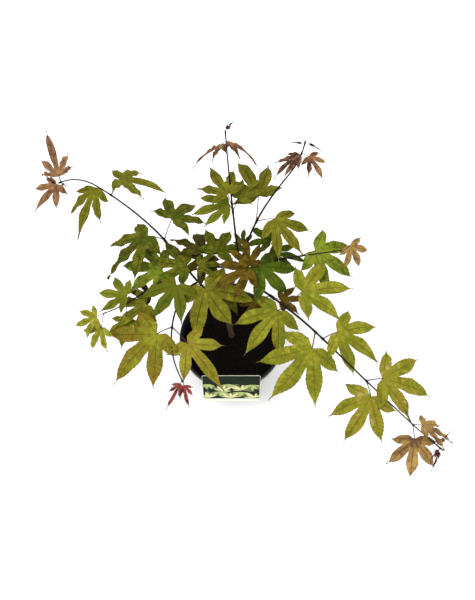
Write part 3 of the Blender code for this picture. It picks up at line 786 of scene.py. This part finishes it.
def stalk_line(path, leaf):
    """A stalk bows a little on its way from the shoot to the blade, and ends just inside the blade."""
    root = along(path, leaf.at)
    end = stalk_end(path, leaf)
    forward = blade_axes(*leaf.blade)[0]
    share = np.linspace(0, 1, STALK_POINTS)[:, None]
    bow = np.array((0, 0, 1.0)) * BOW * np.linalg.norm(end - root)
    line = root * (1 - share) + end * share + bow * np.sin(math.pi * share)
    line = np.vstack([line, end + forward * 1.5 - (0, 0, 0.4)])
    radii = np.interp(np.linspace(0, 1, len(line)), (0, 0.12, 0.5, 0.9, 1), (1.0, 0.62, 0.5, 0.55, 0.3))
    return line, radii * (leaf.size / 60) ** 0.5


STALKS = {}
for name, found in ALL_LEAVES.items():
    lines = [stalk_line(PATHS[name], leaf) for leaf in found]
    STALKS[name] = rod("stalks_" + name, lines, stalk, 0.05, 8)
print("stalks", sum(len(s.data.polygons) for s in STALKS.values()), "faces")

# %% [markdown]
# ## The pot
# A nursery pot is thin blown plastic: a tapering wall, a deeper collar round the top, a rolled lip and a
# flat foot with drain holes. A turned profile describes all of it, so the pot is one outline carried
# round the axis. A slight ripple in the wall is drawn in the same outline.

# %% Sizes of the pot
POT_HEIGHT = 0.105
RIM_RADIUS = 0.065
BASE_RADIUS = 0.045
WALL = 0.0014
FLOOR = 0.0018
COLLAR_HEIGHT = 0.009
COLLAR_STEP = 0.0015
LIP = 0.0012  # radius of the rolled edge
RIPPLE = 0.00012


def inner_radius(height):
    share = height / (POT_HEIGHT - COLLAR_HEIGHT)
    outer = BASE_RADIUS + (RIM_RADIUS - COLLAR_STEP - BASE_RADIUS) * share
    return min(outer, RIM_RADIUS - COLLAR_STEP) - WALL


print("inside of the pot:", round(2000 * inner_radius(FLOOR)), "mm wide at the floor")

# %% Turn a profile
AROUND = 144


def circle_points(radius, count):
    angles = np.linspace(0, 2 * math.pi, count, endpoint=False)
    return [(radius * math.cos(a), radius * math.sin(a)) for a in angles]


def close_rings(bm, rings):
    """Faces between each ring and the next. A ring that repeats one point gives triangles."""
    for low, high in zip(rings, rings[1:]):
        for k in range(len(low)):
            after = (k + 1) % len(low)
            corners = (low[k], high[k], high[after], low[after])
            bm.faces.new(tuple(dict.fromkeys(corners)))
    bmesh.ops.recalc_face_normals(bm, faces=bm.faces)


def turned(name, profile):
    """A closed body from a profile of (radius, height) that starts and ends on the axis."""
    bm = bmesh.new()
    rings = []
    for radius, height in profile:
        if radius == 0:
            rings.append([bm.verts.new((0, 0, height))] * AROUND)
        else:
            rings.append([bm.verts.new((x, y, height)) for x, y in circle_points(radius, AROUND)])
    close_rings(bm, rings)
    for face in bm.faces:
        face.smooth = True
    return mesh_piece(name, bm)


under = POT_HEIGHT - COLLAR_HEIGHT
lip = [(RIM_RADIUS - LIP + LIP * math.sin(a), POT_HEIGHT - LIP + LIP * math.cos(a))
       for a in np.linspace(0, math.pi / 2, 5)]
wall = []
for height in np.linspace(under - 0.0004, 0.0022, 40):
    wall.append((inner_radius(height) + WALL - RIPPLE + RIPPLE * math.sin(height * 900), height))
profile = [(0, FLOOR), (inner_radius(FLOOR) - 0.001, FLOOR), (inner_radius(FLOOR), FLOOR + 0.001),
           (inner_radius(under), under), (inner_radius(under), POT_HEIGHT - 0.0006),
           (inner_radius(under) + 0.0006, POT_HEIGHT), *lip, (RIM_RADIUS, under + 0.0005),
           (RIM_RADIUS - 0.0005, under), (inner_radius(under) + WALL + 0.0002, under), *wall,
           (BASE_RADIUS - 0.0002, 0.0010), (BASE_RADIUS - 0.0012, 0.0), (BASE_RADIUS - 0.004, 0.0),
           (BASE_RADIUS - 0.005, 0.0004), (0, 0.0004)]
pot = turned("pot_shell", profile)
print("pot", len(pot.data.polygons), "faces")

# %% Drill the drain holes
DRAIN_HOLES = 8
DRAIN_RADIUS = 0.0045
DRAIN_RING = 0.034

bm = bmesh.new()
for x, y in circle_points(DRAIN_RING, DRAIN_HOLES):
    bmesh.ops.create_cone(bm, cap_ends=True, segments=24, radius1=DRAIN_RADIUS, radius2=DRAIN_RADIUS,
                          depth=0.006, matrix=Matrix.Translation((x, y, 0.001)))
drill = mesh_piece("drills", bm)
cut = pot.modifiers.new("drain", "BOOLEAN")
cut.operation = "DIFFERENCE"
cut.object = drill
drilled = evaluated_mesh(pot)
pot.modifiers.clear()
pot.data = drilled
bpy.data.objects.remove(drill)
plastic, dust = mottled("black_plastic", (0.005, 0.005, 0.0055), 0.45, 0.12, (0.005, 0.005, 0.0055),
                        (0.021, 0.020, 0.019), 60.0, 6.0, (1, 1, 0.5), 0.65)
drive("Roughness", dust * 0.25 + 0.3)
drilled.materials.clear()
drilled.materials.append(plastic)
print("pot drilled:", len(drilled.polygons), "faces")

# %% [markdown]
# ## The compost
# Moist peat compost is a heap of crumbs, from dust to bits of bark a few millimetres long. A closed body
# with a noisy top gives the surface, and Geometry Nodes strew crumbs of two shapes over it, turned and sized
# at random. Realizing the instances turns them into one plain mesh.

# %% Soil bed
CLEAR = 0.0006  # between the compost and the wall of the pot
BED_RADIUS = inner_radius(SOIL_TOP * MM) - CLEAR
BED_RINGS = 30
BED_AROUND = 96


def bed_height(x, y):
    rough = noise.fractal(Vector((x, y, 0)) * 90, 0.6, 2.2, 5)
    dip = 0.0018 * (math.hypot(x, y) / BED_RADIUS) ** 2
    return SOIL_TOP * MM - 0.0012 + 0.0011 * rough - dip


bm = bmesh.new()
rings = [[bm.verts.new((0, 0, bed_height(0, 0)))] * BED_AROUND]
for r in np.linspace(0, BED_RADIUS, BED_RINGS)[1:]:
    rings.append([bm.verts.new((x, y, bed_height(x, y))) for x, y in circle_points(r, BED_AROUND)])
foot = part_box("soil")[0].z + 0.0002
rings.append([bm.verts.new((x, y, foot)) for x, y in circle_points(inner_radius(foot) - CLEAR, BED_AROUND)])
rings.append([bm.verts.new((0, 0, foot))] * BED_AROUND)
close_rings(bm, rings)
peat, clods = mottled("peat", (0.0028, 0.0018, 0.0013), 0.95, 0.1, (0.0006, 0.0004, 0.0003),
                      (0.006, 0.0038, 0.0026), 500.0, 6.0, grit=0.7)
relief(clods, 1.0, 0.0010)
bed = mesh_piece("soil_bed", bm, peat)
print("bed", len(bed.data.polygons), "faces")


# %% A crumb, and a tree that strews it
def crumb(name, size, seed):
    """A low lump with uneven sides."""
    bm = bmesh.new()
    bmesh.ops.create_icosphere(bm, subdivisions=1, radius=1.0)
    for vert in bm.verts:
        push_out = 1 + 0.35 * noise.noise(vert.co * 1.3 + Vector((seed, 0, 0)))
        vert.co = Vector((vert.co.x * size[0], vert.co.y * size[1], vert.co.z * size[2])) * push_out * MM
    return mesh_piece(name, bm)


STREW, web, given = geometry_tree(
    "crumbs on a surface", Crumb="Object", Density="Float", Smallest="Float", Largest="Float", Seed="Int",
    Finish="Material")
seed = given["Seed"]
up_facing = web.node("ShaderNodeSeparateXYZ", {"Vector": web.node("GeometryNodeInputNormal")}, out="Z")
top_only = web.node("ShaderNodeMath", {0: up_facing, 1: 0.5}, operation="GREATER_THAN")
strewn = web.node("GeometryNodeDistributePointsOnFaces", {
    "Mesh": given["Geometry"], "Selection": top_only, "Density": given["Density"], "Seed": seed})
turns = {0: (0, 0, 0), 1: (6.28, 6.28, 6.28), "Seed": seed}
turn = web.node("FunctionNodeRandomValue", turns, data_type="FLOAT_VECTOR")
sizes = {2: given["Smallest"], 3: given["Largest"], "Seed": seed}
grown = web.node("FunctionNodeRandomValue", sizes, data_type="FLOAT")
lump = web.node("GeometryNodeObjectInfo", {"Object": given["Crumb"]}, out="Geometry")
placed = web.node("GeometryNodeInstanceOnPoints", {
    "Points": strewn, "Instance": lump, "Rotation": turn, "Scale": grown})
close_tree(web, placed, given["Finish"])
print("crumb tree:", len(STREW.nodes), "nodes")

# %% Crumbs strewn on the bed
bark_bit, _ = mottled("bark_bits", (0.007, 0.004, 0.003), 0.9, 0.1, (0.002, 0.001, 0.0006),
                      (0.016, 0.009, 0.006), 700.0, 4.0)
CRUMBS = []
for name, size, density, largest, seed, dress in (
    ("peat_crumbs", (0.9, 0.7, 0.55), 90000.0, 1.3, 5, peat),
    ("bark_crumbs", (2.4, 1.1, 0.6), 9000.0, 1.1, 11, bark_bit),
):
    one = crumb(name + "_one", size, seed)
    host = add_object(name, bed.data.copy())
    values = {"Crumb": one, "Density": density, "Smallest": 0.4, "Largest": largest, "Seed": seed}
    CRUMBS.append(run_tree(host, STREW, {**values, "Finish": dress}))
    bpy.data.objects.remove(one)
    print(name, len(CRUMBS[-1].data.polygons), "faces")

# %% [markdown]
# ## The card
# The card is thin laminated plastic with a bent tongue that drops inside the rim. Its print is generic: a
# dark panel that is plain at the top and has sprays of pale leaflets below, over a pale foot. Flat shapes
# a few hundredths of a millimetre proud of the card stay crisp from any distance, where a texture would
# blur.

# %% Card and its print
CARD_WIDTH = 0.070
CARD_HEIGHT = 0.076
CARD_BELOW = 0.040  # how far the card hangs below the rim
CARD_THICK = 0.0006
CARD_LEAN = 8
CARD_FOOT = 0.009  # height of the pale foot
GAP = 0.0003
PRINT_FRONT = CARD_THICK * 0.96
top = CARD_HEIGHT - CARD_BELOW
low = -CARD_BELOW
hinge = Matrix.Translation((0, -(RIM_RADIUS + GAP), POT_HEIGHT))
hinge = hinge @ Matrix.Rotation(math.radians(-CARD_LEAN), 4, "X")


def rounded_outline(width, low, high, radius):
    """Outline of a card with round corners, anticlockwise, as (x, z)."""
    corners = ((width / 2 - radius, low + radius, -90), (width / 2 - radius, high - radius, 0),
               (-width / 2 + radius, high - radius, 90), (-width / 2 + radius, low + radius, 180))
    outline = []
    for x, z, first in corners:
        for a in np.linspace(first, first + 90, 5):
            outline.append((x + radius * math.cos(math.radians(a)), z + radius * math.sin(math.radians(a))))
    return outline


def plate(name, outline, front, back, dress):
    """A flat plate in the card's own plane, between two depths in front of the hinge."""
    bm = bmesh.new()
    near = [bm.verts.new(hinge @ Vector((x, -front, z))) for x, z in outline]
    far = [bm.verts.new(hinge @ Vector((x, -back, z))) for x, z in outline]
    bm.faces.new(near)
    bm.faces.new(far[::-1])
    for k in range(len(outline)):
        after = (k + 1) % len(outline)
        bm.faces.new((near[k], far[k], far[after], near[after]))
    bmesh.ops.recalc_face_normals(bm, faces=bm.faces)
    return mesh_piece(name, bm, dress)


card_white, _ = mottled("card_white", (0.72, 0.75, 0.60), 0.45, 0.2, (0.66, 0.70, 0.54), (0.78, 0.80, 0.68),
                        40.0, 4.0)
card_dark, _ = mottled("card_dark", (0.010, 0.016, 0.010), 0.6, 0.02, (0.004, 0.008, 0.005),
                       (0.018, 0.028, 0.017), 60.0, 5.0)
card = plate("card", rounded_outline(CARD_WIDTH, low, top, 0.003), CARD_THICK * 0.9, 0.0, card_white)
printed = plate("card_print", rounded_outline(CARD_WIDTH - 0.0006, low + CARD_FOOT, top - 0.0003, 0.0026),
                PRINT_FRONT, CARD_THICK * 0.5, card_dark)
print("card", len(card.data.polygons), "faces, print", len(printed.data.polygons))

# %% Tongue over the rim
HOOK_WIDTH = 0.024
HOOK_DROP = 0.009
HOOK_LEG_Y = -0.0602
bar = POT_HEIGHT + GAP + CARD_THICK / 2
line = [(-(RIM_RADIUS + GAP) - CARD_THICK * 0.4, bar), (HOOK_LEG_Y - 0.0012, bar),
        (HOOK_LEG_Y - 0.0004, bar - 0.0003), (HOOK_LEG_Y, bar - 0.0012), (HOOK_LEG_Y, bar - HOOK_DROP)]
bm = bmesh.new()
rows = [[bm.verts.new((x, y, z)) for x in np.linspace(-HOOK_WIDTH / 2, HOOK_WIDTH / 2, 5)] for y, z in line]
for near, far in zip(rows, rows[1:]):
    for k in range(4):
        bm.faces.new((near[k], near[k + 1], far[k + 1], far[k]))
tongue = mesh_piece("card_tongue", bm, card_white)
thick = tongue.modifiers.new("thick", "SOLIDIFY")
thick.thickness = CARD_THICK * 0.95
thick.offset = 0
print("tongue", len(tongue.data.polygons), "faces before thickness")

# %% Sprays of leaflets on the print
MOTIF_TONES = {
    "mid_leaf": (0.14, 0.20, 0.06),
    "pale_leaf": (0.46, 0.54, 0.17),
    "pale_lemon": (0.78, 0.78, 0.36),
}
LEAFLET = ((0.0, 0.0), (0.3, 0.09), (0.55, 0.12), (0.8, 0.08), (1.0, 0.0), (0.8, -0.08), (0.55, -0.12),
           (0.3, -0.09))  # (along, across), as shares of the leaflet's length
SPRAYS = 10
BLADES = 5
FIELD_SIDE = 0.0345  # no leaflet passes these edges of the picture
FIELD_LOW = low + 0.0095
FIELD_TOP = top - 0.0225


def leaflet_outline(x0, z0, length, turn):
    outline = []
    for along_leaf, across in LEAFLET:
        x = x0 + length * (along_leaf * math.cos(turn) - across * math.sin(turn))
        z = z0 + length * (along_leaf * math.sin(turn) + across * math.cos(turn))
        outline.append((min(max(x, -FIELD_SIDE), FIELD_SIDE), min(max(z, FIELD_LOW), FIELD_TOP)))
    return outline


rng = np.random.default_rng(21)
MOTIFS = []
for depth, (tone, colour) in enumerate(MOTIF_TONES.items()):
    bm = bmesh.new()
    for spray in range(SPRAYS):
        if depth and (spray + depth) % 2:
            continue
        hangs = spray % 2
        x0 = (spray % 5 - 2) * 0.0145 + rng.uniform(-0.003, 0.003)
        z0 = low + 0.012 + 0.021 * (spray // 5) + 0.018 * hangs + rng.uniform(-0.002, 0.002)
        lean = rng.uniform(-32, 32)
        for blade in range(BLADES):
            turn = math.radians(90 - 180 * hangs + lean + (blade - 2) * 31 + rng.uniform(-9, 9))
            length = rng.uniform(0.014, 0.021) * (1 - 0.12 * abs(blade - 2))
            proud = PRINT_FRONT + 0.00003 * (depth + 1) + 0.000001 * blade
            outline = leaflet_outline(x0, z0, length, turn)
            bm.faces.new([bm.verts.new(hinge @ Vector((x, -proud, z))) for x, z in outline])
    bmesh.ops.dissolve_degenerate(bm, dist=LEAST_EDGE, edges=bm.edges)
    bm.normal_update()
    deep = tuple(0.6 * value for value in colour)
    dress, _ = mottled(tone, colour, 0.45, 0.1, deep, colour, 700.0, 3.0)
    MOTIFS.append(mesh_piece("card_" + tone, bm, dress))
    print(MOTIFS[-1].name, len(MOTIFS[-1].data.polygons), "faces")

# %% [markdown]
# ## Who rides on what
# The whole part is one rigid body, so every piece rides on the root. A piece that stands for a packed
# node names it, and that node is hidden.

# %% Ride and replace
for name, piece in LEAF_PIECES.items():
    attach(piece, "root")
    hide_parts("foliage_" + name)
for name, piece in SHOOTS.items():
    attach(piece, "root")
    if LIMBS[name].bare:
        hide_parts("bough_" + name)
for piece in STALKS.values():
    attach(piece, "root")
PLAIN = ((trunk, "trunk", "bark"), (pot, "pot", "pot"), (bed, "soil", "soil"), (card, "label", "label"))
for piece, node, slot in PLAIN:
    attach(piece, "root")
    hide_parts(node)
for piece in CRUMBS:
    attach(piece, "root")
for piece in (printed, tongue, *MOTIFS):
    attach(piece, "root")

# %% [markdown]
# ## Studio
# The plant stands on a plain pale floor under two large soft lamps and an even white sky, so that the
# leaves read by their own colours. The camera looks down steeply from the front.

# %% Floor, light and camera
bm = bmesh.new()
bmesh.ops.create_grid(bm, x_segments=1, y_segments=1, size=6.0, matrix=Matrix.Translation((0, 0, -0.0005)))
floor = mesh_piece("floor", bm, finish("paper", (0.97, 0.97, 0.97), 0.9))


def lamp(name, place, target, size, power):
    data = bpy.data.lights.new(name, "AREA")
    data.shape = "DISK"
    data.size = size
    data.energy = power
    made = add_object(name, data)
    made.location = place
    made.rotation_euler = (Vector(target) - Vector(place)).to_track_quat("-Z", "Y").to_euler()


lamp("key", (-0.8, -0.5, 2.3), (0, 0, 0.2), 1.0, 26)
lamp("fill", (1.6, 0.6, 1.8), (0, 0, 0.2), 1.6, 6)
world = bpy.data.worlds.new("sky")
world.use_nodes = True
world.node_tree.nodes["Background"].inputs["Color"].default_value = (1, 1, 1, 1)
world.node_tree.nodes["Background"].inputs["Strength"].default_value = 1.15
bpy.context.scene.world = world
bpy.context.scene.view_settings.view_transform = "Standard"

CAMERA_PLACE = Vector((0.0075, -0.3473, 1.0896))
CAMERA_TILT = 68.0  # degrees below the horizon
camera_data = bpy.data.cameras.new("camera")
camera_data.lens = 50
camera_data.sensor_width = 36
camera = add_object("camera", camera_data)
camera.location = CAMERA_PLACE
camera.rotation_euler = (math.radians(90 - CAMERA_TILT), 0, 0)
bpy.context.scene.camera = camera
print("camera at", [round(v, 3) for v in CAMERA_PLACE])
